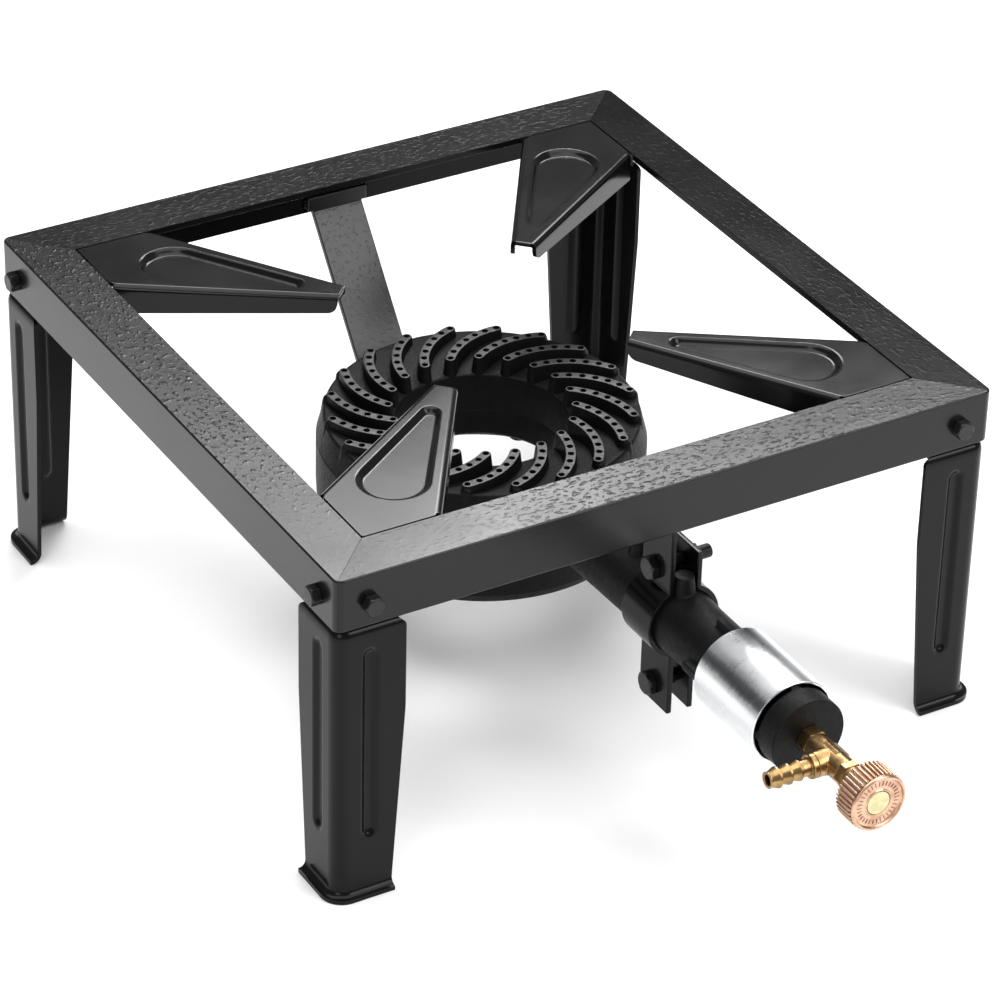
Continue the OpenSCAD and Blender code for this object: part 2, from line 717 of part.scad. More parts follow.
// One clamp half, drawn as the left one: tab, half round and ear
module clamp_half(top) {
  tab = clamp_gap_top / 2;
  ear = clamp_gap_low / 2;
  tab_foot = sqrt(clamp_in_r * clamp_in_r - tab * tab);
  ear_foot = sqrt(clamp_in_r * clamp_in_r - ear * ear);
  difference() {
    translate([0, clamp_y + clamp_width, 0]) rotate([90, 0, 0]) linear_extrude(clamp_width) {
      intersection() {
        difference() {
          circle(r = clamp_out_r);
          circle(r = clamp_in_r);
        }
        union() {
          translate([-tab - clamp_out_r, 0]) square([clamp_out_r, clamp_out_r]);
          translate([-ear - clamp_out_r, -clamp_out_r]) square([clamp_out_r, clamp_out_r + eps]);
        }
      }
      translate([-tab - clamp_sheet, tab_foot]) square([clamp_sheet, top - tab_foot]);
      translate([-ear - clamp_sheet, -clamp_ear]) square([clamp_sheet, clamp_ear - ear_foot]);
    }
    for (z = [clamp_bolt_up, -clamp_bolt_down])
      translate([0, clamp_mid_y, z]) rotate([0, -90, 0])
        cylinder(h = clamp_out_r, r = clamp_bolt_d / 2 + bolt_play);
  }
}

module clamp_fixed_half() { color(enamel) placed() translate([burner_x, 0, tube_z]) clamp_half(clamp_top); }
module clamp_loose_half() {
  color(enamel) placed() translate([burner_x, 0, tube_z]) mirror([1, 0, 0]) clamp_half(clamp_loose_top);
}

module clamp_bolts() {
  color(steel_black) placed() for (end = [[clamp_bolt_up, clamp_gap_top], [-clamp_bolt_down, clamp_gap_low]])
    translate([burner_x - end[1] / 2 - clamp_sheet, clamp_mid_y, tube_z + end[0]]) rotate([0, -90, 0]) {
      hex_head(clamp_bolt_flats, clamp_bolt_d * 0.6);
      grip = end[1] + 2 * clamp_sheet + 2 * clamp_bolt_d;
      translate([0, 0, -grip]) cylinder(h = grip + eps, d = clamp_bolt_d);
    }
}

module clamp_nuts() {
  color(steel_black) placed() for (end = [[clamp_bolt_up, clamp_gap_top], [-clamp_bolt_down, clamp_gap_low]])
    translate([burner_x + end[1] / 2 + clamp_sheet, clamp_mid_y, tube_z + end[0]]) rotate([0, 90, 0])
      hex_nut(clamp_bolt_flats, clamp_bolt_d * 0.8, clamp_bolt_d + 2 * thread_play);
}

module air_sleeve() {
  color(zinc) placed() difference() {
    frontward(burner_x, sleeve_y + sleeve_length, tube_z, sleeve_length, sleeve_bore_r + sleeve_wall);
    frontward(burner_x, sleeve_y + sleeve_length + 1, tube_z, sleeve_length + 2, sleeve_bore_r);
  }
}

// The valve's axis: +z runs from the end disc's face to the front
module on_valve() { placed() translate([burner_x, disc_y, tube_z]) rotate([90, 0, 0]) children(); }

module gas_jet() {
  tip = disc_thick + 9;
  color(brass) on_valve() difference() {
    union() {
      translate([0, 0, -disc_thick - 2]) cylinder(h = disc_thick + 2 + valve_start + jet_seat, d = jet_d);
      translate([0, 0, -tip]) cylinder(h = tip - disc_thick - 2 + eps, r1 = 1.6, r2 = jet_d / 2);
    }
    translate([0, 0, -disc_thick]) cylinder(h = disc_thick + valve_start + jet_seat + 1, d = jet_bore_d);
    translate([0, 0, -tip - 1]) cylinder(h = tip, d = 0.9);
  }
}

module jet_lock_nut() {
  color(brass) on_valve() hex_nut(jet_nut_flats, jet_nut_thick, jet_d + 2 * thread_play);
}

module valve_body() {
  collar = valve_d / 2 + 3;
  color(brass) on_valve() difference() {
    union() {
      translate([0, 0, valve_start]) cylinder(h = valve_length, d = valve_d);
      translate([0, 0, tail_from_disc - valve_d * 0.4]) rotate([0, 0, 30]) hex(valve_hex, valve_d * 0.8);
      translate([0, 0, tail_from_disc]) rotate([0, -90, 0]) cylinder(h = collar, d = valve_d - 0.3);
    }
    translate([0, 0, valve_start - 1]) cylinder(h = jet_seat + 1, r = jet_d / 2 + thread_play);
    translate([0, 0, valve_start]) cylinder(h = valve_length, d = jet_bore_d);
    translate([0, 0, needle_seat]) cylinder(h = valve_length, r = spindle_r + spindle_play * 4);
    translate([0, 0, valve_stop - packing_length])
      cylinder(h = packing_length + 1, d = packing_d + 2 * thread_play);
    translate([0, 0, tail_from_disc]) rotate([0, -90, 0]) {
      cylinder(h = valve_d, d = tail_bore_d);
      translate([0, 0, valve_d / 2 - 2]) cylinder(h = valve_d, d = tail_core_d + 2 * thread_play);
    }
  }
}

// Barbed tail for a gas hose, pointing to the left
module hose_tail() {
  collar = valve_d / 2 + 3;
  barbs = 3;
  lead = 1.2;
  first = tail_reach - barbs * tail_ridge;
  color(brass) on_valve() translate([0, 0, tail_from_disc]) rotate([0, -90, 0]) difference() {
    union() {
      translate([0, 0, valve_d / 2 - 2]) cylinder(h = tail_reach - valve_d / 2 + 2, d = tail_core_d);
      translate([0, 0, collar]) cylinder(h = 2.5, d = valve_d - 0.5);
      for (i = [0 : barbs - 1]) translate([0, 0, first + i * tail_ridge]) {
        cylinder(h = lead, d = tail_ridge_d);
        translate([0, 0, lead - eps]) cylinder(h = tail_ridge - lead, d1 = tail_ridge_d, d2 = tail_core_d);
      }
    }
    cylinder(h = tail_reach + 1, d = tail_bore_d);
  }
}

module gland_nut() {
  color(brass) on_valve() translate([0, 0, valve_stop]) difference() {
    union() {
      hex(valve_d, gland_length * 0.6);
      cylinder(h = gland_length, d = valve_d * 0.92);
    }
    translate([0, 0, -1]) cylinder(h = gland_length + 2, r = spindle_r + spindle_play);
  }
}

module gland_packing() {
  color("#d8d2c4") on_valve() translate([0, 0, valve_stop - packing_length]) difference() {
    cylinder(h = packing_length, d = packing_d);
    translate([0, 0, -1]) cylinder(h = packing_length + 2, r = spindle_r + spindle_play);
  }
}

module valve_spindle() {
  shaft_start = needle_start + needle_length;
  color(brass) on_valve() {
    translate([0, 0, shaft_start]) cylinder(h = cap_start - 0.2 - shaft_start, r = spindle_r);
    translate([0, 0, needle_start]) cylinder(h = needle_length + eps, r1 = needle_tip_r, r2 = spindle_r);
  }
}

module control_knob() {
  r = knob_d / 2;
  flute_r = PI * r / knob_flutes * 0.72;
  color(copper) on_valve() translate([0, 0, knob_start]) difference() {
    rotate_extrude() polygon([
      [spindle_r + spindle_play, 0], [r * 0.55, 0], [r * 0.55, 2], [r - 1, 2], [r, 3], [r, knob_length - 3],
      [r - 2.2, knob_length], [r - 3, knob_length], [r - 3.4, knob_length - knob_sink],
      [spindle_r + spindle_play, knob_length - knob_sink]
    ]);
    for (i = [0 : knob_flutes - 1])
      rotate([0, 0, 360 * i / knob_flutes]) translate([r + flute_r * 0.35, 0, 1])
        cylinder(h = knob_length - 4.2, r = flute_r);
    translate([0, 0, cap_start - knob_start]) cylinder(h = 2 * cap_seat, d = knob_cap_d + 2 * thread_play);
  }
}

module knob_cap() {
  color("#d9c46f") on_valve() translate([0, 0, cap_start]) cylinder(h = 2, d = knob_cap_d);
}

rail_front();
rail_right();
rail_back();
rail_left();
pot_support_front_left();
pot_support_front_right();
pot_support_back_right();
pot_support_back_left();
leg_front_left();
leg_front_right();
leg_back_right();
leg_back_left();
leg_bolts();
leg_nuts();
burner_head();
burner_body();
ring_screws();
burner_strap();
strap_bolt();
strap_nut();
clamp_fixed_half();
clamp_loose_half();
clamp_bolts();
clamp_nuts();
air_sleeve();
gas_jet();
jet_lock_nut();
valve_body();
hose_tail();
gland_nut();
gland_packing();
valve_spindle();
control_knob();
knob_cap();
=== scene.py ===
"""Dresses the outdoor gas burner: enamelled stand, cast ring burner, air sleeve and brass valve."""
import json
import math

import bmesh
import bpy
from mathutils import Matrix, Vector


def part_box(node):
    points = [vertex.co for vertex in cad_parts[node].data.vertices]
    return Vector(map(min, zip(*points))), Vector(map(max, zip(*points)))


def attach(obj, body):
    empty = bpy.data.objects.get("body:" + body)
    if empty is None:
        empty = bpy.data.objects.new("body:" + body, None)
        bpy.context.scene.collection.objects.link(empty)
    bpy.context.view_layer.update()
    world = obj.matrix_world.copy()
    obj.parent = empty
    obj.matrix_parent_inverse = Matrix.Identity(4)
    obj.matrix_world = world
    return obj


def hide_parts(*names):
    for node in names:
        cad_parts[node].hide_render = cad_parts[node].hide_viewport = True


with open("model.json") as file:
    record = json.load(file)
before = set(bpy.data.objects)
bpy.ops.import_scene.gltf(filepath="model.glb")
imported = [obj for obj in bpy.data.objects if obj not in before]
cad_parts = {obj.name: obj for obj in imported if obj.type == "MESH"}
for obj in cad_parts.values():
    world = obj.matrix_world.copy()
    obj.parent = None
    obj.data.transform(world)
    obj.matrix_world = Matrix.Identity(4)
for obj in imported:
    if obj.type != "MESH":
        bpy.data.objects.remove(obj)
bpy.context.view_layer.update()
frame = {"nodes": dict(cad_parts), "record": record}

MM = 0.001
BODY_OF = {node: body for body, nodes in frame["record"]["behaviour"]["bodies"].items() for node in nodes}


# Places taken from the frame
def low(node):
    return Vector(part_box(node)[0])


def high(node):
    return Vector(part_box(node)[1])


STAND_TOP = high("rail_front").z
RAIL_LOW = low("rail_front").z
STAND_MID = Vector((0, (low("rail_front").y + high("rail_back").y) / 2, 0))
STAND_HALF = high("rail_right").x
RIDGE_TOP = high("burner_head").z
RING_MID = (low("burner_head") + high("burner_head")) / 2
VALVE_X = RING_MID.x
VALVE_Z = (low("air_sleeve").z + high("air_sleeve").z) / 2
# The enamel lies smoothest round this corner of the rails
CALM_CORNER = Vector((-STAND_HALF, low("rail_front").y, STAND_TOP))
CORNERS = ("front_left", "front_right", "back_right", "back_left")
SIDES = ("front", "right", "back", "left")


# Camera and studio
PHOTO_LENS = 159.8
PHOTO_SENSOR = 36
PHOTO_AZIMUTH = -30.753
PHOTO_ELEVATION = 32.399
PHOTO_ROLL = 1.492
PHOTO_DISTANCE = 1996.2 * MM
PHOTO_TARGET_RIGHT = 8.29 * MM
PHOTO_TARGET_UP = -15.03 * MM
SURROUND = 0.3
# Name, place from the stand's middle, width, height and power
SOFTBOXES = (
    ("overhead", (0, 0, 2.2), 2.6, 2.6, 66),
    ("back_near", (0.45, 1.0, 1.08), 0.42, 0.42, 4.6),
    ("back_wide", (0.88, 0.86, 1.08), 0.7, 0.26, 8.0),
    ("front_right", (0.7, -1.1, 0.95), 0.8, 0.8, 11.5),
    ("front_left", (-1.6, -1.2, 0.9), 0.8, 1.0, 9),
)


def photo_camera():
    """The camera at the photograph's viewing angle."""
    turn = math.radians(PHOTO_AZIMUTH)
    lift = math.radians(PHOTO_ELEVATION)
    roll = math.radians(PHOTO_ROLL)
    back = Vector((math.sin(turn) * math.cos(lift), -math.cos(turn) * math.cos(lift), math.sin(lift)))
    level = Vector((math.cos(turn), math.sin(turn), 0))
    above = back.cross(level)
    right = level * math.cos(roll) + above * math.sin(roll)
    up = above * math.cos(roll) - level * math.sin(roll)
    target = STAND_MID + Vector((0, 0, STAND_TOP / 2)) + right * PHOTO_TARGET_RIGHT + up * PHOTO_TARGET_UP
    data = bpy.data.cameras.new("photo_camera")
    data.lens = PHOTO_LENS
    data.sensor_width = PHOTO_SENSOR
    data.clip_start = 0.05
    camera = bpy.data.objects.new("photo_camera", data)
    camera.matrix_world = Matrix.Translation(target + back * PHOTO_DISTANCE) @ Matrix(
        (right, up, back)).transposed().to_4x4()
    bpy.context.scene.collection.objects.link(camera)
    bpy.context.scene.camera = camera


def softbox(name, place, aim, width, height, power):
    """A rectangular area light."""
    data = bpy.data.lights.new(name, "AREA")
    data.shape = "RECTANGLE"
    data.size = width
    data.size_y = height
    data.energy = power
    lamp = bpy.data.objects.new(name, data)
    lamp.location = place
    lamp.rotation_euler = (Vector(aim) - Vector(place)).to_track_quat("-Z", "Y").to_euler()
    bpy.context.scene.collection.objects.link(lamp)


def studio():
    """Pale floor, light grey surroundings and softboxes."""
    scene = bpy.context.scene
    scene.view_settings.view_transform = "Standard"
    world = bpy.data.worlds.new("studio_white")
    world.use_nodes = True
    scene.world = world
    background = world.node_tree.nodes["Background"]
    background.inputs["Color"].default_value = (1, 1, 1, 1)
    background.inputs["Strength"].default_value = SURROUND
    mesh = bpy.data.meshes.new("studio_floor")
    reach = 4.0
    sink = 0.2 * MM
    mesh.from_pydata(
        [(-reach, -reach, -sink), (reach, -reach, -sink), (reach, reach, -sink), (-reach, reach, -sink)],
        [], [(0, 1, 2, 3)])
    floor = bpy.data.objects.new("studio_floor", mesh)
    scene.collection.objects.link(floor)
    net = Net("floor_paper")
    net.finish({"Base Color": (0.93, 0.93, 0.93, 1), "Roughness": 0.9, "Specular IOR Level": 0.1})
    mesh.materials.append(net.material)
    middle = STAND_MID + Vector((0, 0, STAND_TOP / 2))
    for name, offset, width, height, power in SOFTBOXES:
        softbox(name, middle + Vector(offset), middle, width, height, power)


# Shader maths
class Value:
    """A shader socket that takes part in Python sums."""

    def __init__(self, net, socket):
        self.net = net
        self.socket = socket

    def sum(self, operation, first, second):
        return self.net.node("ShaderNodeMath", {"operation": operation}, {0: first, 1: second})

    def __add__(self, other):
        return self.sum("ADD", self, other)

    def __sub__(self, other):
        return self.sum("SUBTRACT", self, other)

    def __mul__(self, other):
        return self.sum("MULTIPLY", self, other)


class Net:
    """The node tree of one finish."""

    def __init__(self, name):
        self.material = bpy.data.materials.new(name)
        self.material.use_nodes = True
        self.tree = self.material.node_tree
        self.shader = self.tree.nodes["Principled BSDF"]

    def node(self, kind, settings=None, sockets=None, output=0):
        """One node of any kind: its settings first, then its sockets' values or links."""
        made = self.tree.nodes.new(kind)
        for key, value in (settings or {}).items():
            setattr(made, key, value)
        self.feed(made, sockets or {})
        return Value(self, made.outputs[output])

    def feed(self, made, sockets):
        for key, value in sockets.items():
            if isinstance(value, Value):
                self.tree.links.new(value.socket, made.inputs[key])
            else:
                made.inputs[key].default_value = value

    def finish(self, sockets):
        self.feed(self.shader, sockets)

    def place(self, stretch=(1, 1, 1)):
        """Object coordinates, stretched."""
        plain = self.node("ShaderNodeTexCoord", output="Object")
        return self.node("ShaderNodeMapping", None, {"Vector": plain, "Scale": stretch})

    def axis(self, vector, letter):
        return self.node("ShaderNodeSeparateXYZ", None, {0: vector}, output=letter)

    def upward(self):
        """How far a face points upwards, from -1 to 1."""
        return self.axis(self.node("ShaderNodeNewGeometry", output="Normal"), "Z")

    def noise(self, vector, scale, detail=3.0, roughness=0.5, distortion=0.0):
        return self.node("ShaderNodeTexNoise", None, {
            "Vector": vector, "Scale": scale, "Detail": detail, "Roughness": roughness,
            "Distortion": distortion})

    def step(self, value, start, stop, low_to=0.0, high_to=1.0):
        """A soft step of a value between two bounds."""
        return self.node("ShaderNodeMapRange", {"interpolation_type": "SMOOTHSTEP"}, {
            "Value": value, "From Min": start, "From Max": stop, "To Min": low_to, "To Max": high_to})

    def mix(self, factor, first, second):
        """A colour between two colours."""
        return self.node("ShaderNodeMix", {"data_type": "RGBA"}, {0: factor, 6: first, 7: second}, output=2)

    def distance(self, vector, point):
        return self.node(
            "ShaderNodeVectorMath", {"operation": "DISTANCE"}, {0: vector, 1: point}, output="Value")

    def bump(self, height, depth=1.0):
        """Relief from a height, which is in metres unless a depth is given."""
        return self.node("ShaderNodeBump", None, {"Height": height, "Distance": depth})


def grey(value, blue=0.0):
    return (value, value, value * (1 + blue), 1)


def enamel_finish(name, relief=0.0, grain_run=(1, 1, 1), shine=0.3, facing=(0.8, 0.97), roughness=0.2):
    """Black enamel; relief is the depth of the pitted grain on faces that look up by the facing bounds."""
    net = Net(name)
    place = net.place()
    smudge = net.noise(place, scale=26, detail=4, roughness=0.6)
    fine = net.noise(place, scale=70, detail=2)
    on_top = net.step(net.upward(), *facing)
    height = fine * 0.015 * MM
    if relief:
        patches = net.step(net.noise(place, scale=14, detail=2), 0.34, 0.62, 0.55, 1.0)
        calm = net.step(net.distance(place, CALM_CORNER), 40 * MM, 150 * MM, 0.16, 1.0)
        grain = net.place(grain_run)
        pits = net.step(net.noise(grain, scale=500, detail=2, roughness=0.45, distortion=0.15), 0.51, 0.74)
        swell = net.noise(grain, scale=150, detail=2)
        height = height + (pits * patches + swell * 0.3) * on_top * calm * relief
    net.finish({
        "Base Color": net.mix(smudge, grey(0.002, blue=0.06), grey(0.005, blue=0.06)),
        "Roughness": net.step(smudge, 0.2, 0.85, roughness - 0.03, roughness + 0.04),
        "Specular IOR Level": shine,
        "Normal": net.bump(height),
    })
    return net.material


def satin_finish(name):
    """Satin black of the bolts and nuts."""
    net = Net(name)
    worn = net.noise(net.place(), scale=260, detail=4, roughness=0.6)
    net.finish({
        "Base Color": net.mix(worn, grey(0.004), grey(0.012)),
        "Roughness": net.step(worn, 0.3, 0.7, 0.26, 0.42),
        "Specular IOR Level": 0.35,
        "Normal": net.bump(worn, 0.12 * MM),
    })
    return net.material


def cast_iron_finish(name):
    """Matt black casting with ground ridge tops."""
    net = Net(name)
    place = net.place()
    grain = net.noise(place, scale=900, detail=4, roughness=0.6)
    lumps = net.noise(place, scale=170)
    at_tops = net.step(net.axis(place, "Z"), RIDGE_TOP - 0.5 * MM, RIDGE_TOP - 0.15 * MM)
    ring_front = low("burner_head").y
    on_ring = net.step(net.axis(place, "Y"), ring_front - 1 * MM, ring_front)
    ground = at_tops * on_ring * net.step(net.upward(), 0.8, 0.95)
    scratch = net.noise(net.place((1, 9, 1)), scale=420, roughness=0.6)
    skin = net.mix(lumps, grey(0.002), grey(0.006))
    tops = net.mix(scratch, grey(0.03, blue=0.03), grey(0.12, blue=0.03))
    net.finish({
        "Base Color": net.mix(ground, skin, tops),
        "Metallic": ground * 0.6,
        "Specular IOR Level": 0.13,
        "Roughness": net.step(grain, 0.25, 0.75, 0.42, 0.6) - ground * 0.1,
        "Normal": net.bump(grain * 0.12 * MM + lumps * 0.35 * MM),
    })
    return net.material


def zinc_finish(name):
    """Bright zinc plating: faintly mottled, with two dark bands along the sleeve that are painted
    reflections.
    """
    net = Net(name)
    cloud = net.noise(net.place(), scale=60, detail=4, roughness=0.6)
    drawn = net.noise(net.place((1, 16, 1)), scale=38)
    facing = net.node("ShaderNodeNewGeometry", output="Normal")
    angle = net.node("ShaderNodeMath", {"operation": "ARCTAN2"}, {
        0: net.axis(facing, "Z"), 1: net.axis(facing, "X")})
    plating_with_painted_reflections = net.mix(cloud, (0.84, 0.86, 0.88, 1), (0.95, 0.96, 0.97, 1))
    # Painted reflections: the two dark bands below darken the plating by which way the surface faces round
    # the sleeve, standing in for dark surroundings mirrored in it
    painted_reflection_dark = (0.16, 0.17, 0.19, 1)
    waver = 0.12
    for middle, spread, share in ((141, 11, 0.66), (84, 14, 0.5)):
        off = angle - math.radians(middle) + (drawn - 0.5) * waver
        painted_reflection_band = net.step(off * off, 0, math.radians(spread) ** 2, share, 0.0)
        plating_with_painted_reflections = net.mix(painted_reflection_band, plating_with_painted_reflections, painted_reflection_dark)
    net.finish({
        "Base Color": plating_with_painted_reflections,
        "Metallic": 1.0,
        "Roughness": net.step(cloud, 0.3, 0.7, 0.24, 0.3) + drawn * 0.04,
        "Normal": net.bump(cloud * 0.02 * MM + drawn * 0.015 * MM),
    })
    return net.material


def turned_finish(name, light, dark, roughness):
    """Turned metal with fine tool marks and a little tarnish."""
    net = Net(name)
    tarnish = net.noise(net.place(), scale=210, detail=4, roughness=0.6)
    marks = net.noise(net.place((1, 14, 1)), scale=240, detail=2)
    net.finish({
        "Base Color": net.mix(net.step(tarnish, 0.35, 0.75), light, dark),
        "Metallic": 1.0,
        "Roughness": net.step(tarnish, 0.3, 0.75, roughness, roughness + 0.14),
        "Normal": net.bump(marks * 0.03 * MM + tarnish * 0.03 * MM),
    })
    return net.material


def packing_finish(name):
    """Off-white packing."""
    net = Net(name)
    weave = net.noise(net.place(), scale=700, detail=2)
    net.finish({
        "Base Color": net.mix(weave, (0.62, 0.6, 0.54, 1), (0.8, 0.78, 0.72, 1)),
        "Roughness": 0.8,
        "Normal": net.bump(weave, 0.1 * MM),
    })
    return net.material


# Mesh tools
SHARP_EDGE = math.radians(38)
ROUNDED_EDGE = math.radians(25)
RIM_EDGE = math.radians(60)
FLAT_WITHIN = math.radians(0.6)
SAME_POINT = 0.002 * MM


def put_in_scene(name, mesh, material):
    piece = bpy.data.objects.new(name, mesh)
    bpy.context.scene.collection.objects.link(piece)
    mesh.materials.clear()
    mesh.materials.append(material)
    return piece


def shaded(piece):
    """Smooth shading with sharp edges kept, and flat faces left flat by weighted normals."""
    for face in piece.data.polygons:
        face.use_smooth = True
    piece.data.set_sharp_from_angle(angle=SHARP_EDGE)
    weights = piece.modifiers.new("weights", "WEIGHTED_NORMAL")
    weights.keep_sharp = True
    graph = bpy.context.evaluated_depsgraph_get()
    flat = bpy.data.meshes.new_from_object(piece.evaluated_get(graph), depsgraph=graph)
    piece.modifiers.remove(weights)
    plain = piece.data
    piece.data = flat
    bpy.data.meshes.remove(plain)
    piece.data.name = piece.name
    return piece


def stands_for(piece, node):
    """Lets a piece ride with a node's body in its place."""
    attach(piece, BODY_OF[node])
    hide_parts(node)


def softened(node, material, passes):
    """A copy of a CAD node with rounded edges; each pass is a width, its segments and a choice of edges."""
    shape = bmesh.new()
    shape.from_mesh(frame["nodes"][node].data)
    bmesh.ops.remove_doubles(shape, verts=shape.verts, dist=SAME_POINT)
    bmesh.ops.dissolve_limit(
        shape, angle_limit=FLAT_WITHIN, verts=shape.verts, edges=shape.edges, use_dissolve_boundaries=False)
    for width, segments, wanted in passes:
        edges = [
            edge for edge in shape.edges
            if edge.is_manifold and edge.calc_face_angle(0) > ROUNDED_EDGE and wanted(edge)]
        bmesh.ops.bevel(
            shape, geom=edges, offset=width, offset_type="OFFSET", segments=segments, profile=0.5,
            affect="EDGES", clamp_overlap=False)
    mesh = bpy.data.meshes.new(node + "_finished")
    shape.to_mesh(mesh)
    shape.free()
    piece = shaded(put_in_scene(node + "_finished", mesh, material))
    stands_for(piece, node)
    return piece


def every(edge):
    """A choice of edges that takes them all."""
    return True


def turned_mesh(name, profile, steps):
    """A mesh spun round +Z from a closed outline of radius and height."""
    on_axis = 1e-7
    shape = bmesh.new()
    turns = [2 * math.pi * i / steps for i in range(steps)]
    rings = []
    for radius, along in profile:
        if radius < on_axis:
            rings.append([shape.verts.new((0, 0, along))] * steps)
        else:
            rings.append([
                shape.verts.new((radius * math.cos(a), radius * math.sin(a), along)) for a in turns])
    for first, second in zip(rings, rings[1:] + rings[:1]):
        for i in range(steps):
            j = (i + 1) % steps
            loop = list(dict.fromkeys((first[i], first[j], second[j], second[i])))
            if len(loop) > 2:
                shape.faces.new(loop)
    bmesh.ops.recalc_face_normals(shape, faces=shape.faces)
    mesh = bpy.data.meshes.new(name)
    shape.to_mesh(mesh)
    shape.free()
    return mesh


def along_axis(place, axis):
    """Turns +Z to an axis and moves the origin to a place."""
    return Matrix.Translation(place) @ Vector(axis).to_track_quat("Z", "Y").to_matrix().to_4x4()


def turned(name, profile, place, axis, material, steps):
    """A turned piece whose outline starts at a place and runs along an axis."""
    mesh = turned_mesh(name, profile, steps)
    mesh.transform(along_axis(place, axis))
    return shaded(put_in_scene(name, mesh, material))


# Geometry Nodes
class Tree:
    """A Geometry Nodes tree with named inputs, ending in Realize Instances and Set Material."""

    def __init__(self, name, inputs):
        self.group = bpy.data.node_groups.new(name, "GeometryNodeTree")
        for label, kind in inputs.items():
            self.group.interface.new_socket(name=label, in_out="INPUT", socket_type=kind)
        self.group.interface.new_socket(name="Geometry", in_out="OUTPUT", socket_type="NodeSocketGeometry")
        self.inputs = self.group.nodes.new("NodeGroupInput").outputs

    def node(self, kind, settings=None, sockets=None):
        made = self.group.nodes.new(kind)
        for key, value in (settings or {}).items():
            setattr(made, key, value)
        for key, value in (sockets or {}).items():
            if isinstance(value, bpy.types.NodeSocket):
                self.group.links.new(value, made.inputs[key])
            else:
                made.inputs[key].default_value = value
        return made.outputs

    def finish(self, geometry):
        solid = self.node("GeometryNodeRealizeInstances", None, {"Geometry": geometry})
        dressed = self.node("GeometryNodeSetMaterial", None, {
            "Geometry": solid["Geometry"], "Material": self.inputs["Material"]})
        self.node("NodeGroupOutput", None, {"Geometry": dressed["Geometry"]})

    def grow(self, name, material, values, place=None):
        """A plain mesh piece made by the tree, moved to its place."""
        holder = bpy.data.objects.new(name + "_holder", bpy.data.meshes.new(name + "_holder"))
        bpy.context.scene.collection.objects.link(holder)
        modifier = holder.modifiers.new("nodes", "NODES")
        modifier.node_group = self.group
        values = dict(values, Material=material)
        for item in self.group.interface.items_tree:
            if item.in_out == "INPUT":
                modifier[item.identifier] = values[item.name]
        graph = bpy.context.evaluated_depsgraph_get()
        mesh = bpy.data.meshes.new_from_object(holder.evaluated_get(graph), depsgraph=graph)
        holder.modifiers.remove(modifier)
        bpy.data.objects.remove(holder)
        mesh.name = name
        if place is not None:
            mesh.transform(place)
        return shaded(put_in_scene(name, mesh, material))


def ring_tree():
    """Copies of one piece in a ring, each turned to face outwards."""
    tree = Tree("ring_of_copies", {
        "Count": "NodeSocketInt", "Radius": "NodeSocketFloat", "Copy": "NodeSocketObject",
        "Material": "NodeSocketMaterial"})
    ring = tree.node("GeometryNodeMeshCircle", None, {
        "Vertices": tree.inputs["Count"], "Radius": tree.inputs["Radius"]})
    copy = tree.node("GeometryNodeObjectInfo", None, {"Object": tree.inputs["Copy"]})
    place = tree.node("GeometryNodeInputPosition")
    outward = tree.node("FunctionNodeAlignRotationToVector", {"axis": "X"}, {"Vector": place["Position"]})
    copies = tree.node("GeometryNodeInstanceOnPoints", None, {
        "Points": ring["Mesh"], "Instance": copy["Geometry"], "Rotation": outward["Rotation"]})
    tree.finish(copies["Instances"])
    return tree


def bead_tree():
    """Overlapping weld beads along a path."""
    tree = Tree("beads_along_path", {
        "Path": "NodeSocketObject", "Pitch": "NodeSocketFloat", "Bead": "NodeSocketFloat",
        "Seed": "NodeSocketInt", "Material": "NodeSocketMaterial"})
    path = tree.node("GeometryNodeObjectInfo", None, {"Object": tree.inputs["Path"]})
    curve = tree.node("GeometryNodeMeshToCurve", None, {"Mesh": path["Geometry"]})
    even = tree.node("GeometryNodeResampleCurve", {"mode": "LENGTH"}, {
        "Curve": curve["Curve"], "Length": tree.inputs["Pitch"]})
    ball = tree.node("GeometryNodeMeshUVSphere", None, {
        "Segments": 12, "Rings": 8, "Radius": tree.inputs["Bead"]})
    size = tree.node("FunctionNodeRandomValue", {"data_type": "FLOAT_VECTOR"}, {
        0: (0.75, 0.75, 0.6), 1: (1.1, 1.1, 0.85), "Seed": tree.inputs["Seed"]})
    beads = tree.node("GeometryNodeInstanceOnPoints", None, {
        "Points": even["Curve"], "Instance": ball["Mesh"], "Scale": size[0]})
    tree.finish(beads["Instances"])
    return tree


def stack_tree():
    """Copies of one piece in a straight row."""
    tree = Tree("row_of_copies", {
        "Count": "NodeSocketInt", "Step": "NodeSocketVector", "Copy": "NodeSocketObject",
        "Material": "NodeSocketMaterial"})
    row = tree.node("GeometryNodeMeshLine", None, {
        "Count": tree.inputs["Count"], "Offset": tree.inputs["Step"]})
    copy = tree.node("GeometryNodeObjectInfo", None, {"Object": tree.inputs["Copy"]})
    copies = tree.node("GeometryNodeInstanceOnPoints", None, {
        "Points": row["Mesh"], "Instance": copy["Geometry"]})
    tree.finish(copies["Instances"])
    return tree


# Finishes
photo_camera()
studio()
